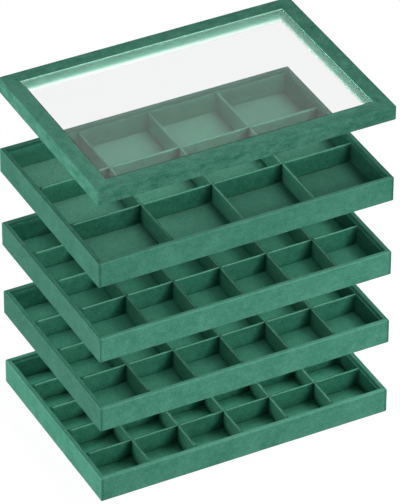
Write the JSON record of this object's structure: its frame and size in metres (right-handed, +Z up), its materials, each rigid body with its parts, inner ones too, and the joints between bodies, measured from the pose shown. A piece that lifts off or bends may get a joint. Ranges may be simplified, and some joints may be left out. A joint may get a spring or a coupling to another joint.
{
  "type": "stackable jewelry box",
  "caption": "Velvet-covered box of shallow divided trays under a framed glass lid; each level lifts straight off and its plinth seats in the rim of the level below.",
  "frame": {"origin": "centre of the underside of the bottom tray's plinth, with the levels lifted apart", "axes": "+X along the long side, to the right; +Y along the short side, to the back; +Z up, the way each level lifts off"},
  "size_m": [0.35, 0.24, 0.4064],
  "materials": {
    "velvet_board": "fibreboard wrapped in short green velvet, matt with a soft nap",
    "velvet_lining": "thin card under short green velvet, matt with a soft nap",
    "glass": "clear, with green edges"
  },
  "bodies": {
    "bottom_tray": {"bottom_tray_walls": "velvet_board", "bottom_tray_base": "velvet_board", "bottom_tray_plinth": "velvet_board", "bottom_tray_row_divider_1": "velvet_board", "bottom_tray_row_divider_2": "velvet_board", "bottom_tray_row_divider_3": "velvet_board", "bottom_tray_row_divider_4": "velvet_board", "bottom_tray_column_divider_1": "velvet_board", "bottom_tray_column_divider_2": "velvet_board", "bottom_tray_column_divider_3": "velvet_board", "bottom_tray_column_divider_4": "velvet_board", "bottom_tray_column_divider_5": "velvet_board", "bottom_tray_liner": "velvet_lining", "bottom_tray_floor_pad": "velvet_lining"},
    "third_tray": {"third_tray_walls": "velvet_board", "third_tray_base": "velvet_board", "third_tray_plinth": "velvet_board", "third_tray_row_divider_1": "velvet_board", "third_tray_row_divider_2": "velvet_board", "third_tray_row_divider_3": "velvet_board", "third_tray_column_divider_1": "velvet_board", "third_tray_column_divider_2": "velvet_board", "third_tray_column_divider_3": "velvet_board", "third_tray_column_divider_4": "velvet_board", "third_tray_column_divider_5": "velvet_board", "third_tray_liner": "velvet_lining", "third_tray_floor_pad": "velvet_lining"},
    "second_tray": {"second_tray_walls": "velvet_board", "second_tray_base": "velvet_board", "second_tray_plinth": "velvet_board", "second_tray_row_divider_1": "velvet_board", "second_tray_row_divider_2": "velvet_board", "second_tray_row_divider_3": "velvet_board", "second_tray_column_divider_1": "velvet_board", "second_tray_column_divider_2": "velvet_board", "second_tray_column_divider_3": "velvet_board", "second_tray_column_divider_4": "velvet_board", "second_tray_column_divider_5": "velvet_board", "second_tray_liner": "velvet_lining", "second_tray_floor_pad": "velvet_lining"},
    "top_tray": {"top_tray_walls": "velvet_board", "top_tray_base": "velvet_board", "top_tray_plinth": "velvet_board", "top_tray_row_divider_1": "velvet_board", "top_tray_row_divider_2": "velvet_board", "top_tray_column_divider_1": "velvet_board", "top_tray_column_divider_2": "velvet_board", "top_tray_column_divider_3": "velvet_board", "top_tray_liner": "velvet_lining", "top_tray_floor_pad": "velvet_lining"},
    "lid": {"lid_front_rail": "velvet_board", "lid_back_rail": "velvet_board", "lid_left_rail": "velvet_board", "lid_right_rail": "velvet_board", "lid_lip": "velvet_board", "lid_glass_panel": "glass"}
  },
  "joints": [
    {"name": "third_tray_lift", "type": "slide", "parent": "bottom_tray", "child": "third_tray", "axis": [0, 0, 1], "range_m": [-0.0645, 0]},
    {"name": "second_tray_lift", "type": "slide", "parent": "third_tray", "child": "second_tray", "axis": [0, 0, 1], "range_m": [-0.0615, 0]},
    {"name": "top_tray_lift", "type": "slide", "parent": "second_tray", "child": "top_tray", "axis": [0, 0, 1], "range_m": [-0.067, 0]},
    {"name": "lid_lift", "type": "slide", "parent": "top_tray", "child": "lid", "axis": [0, 0, 1], "range_m": [-0.074, 0]}
  ]
}
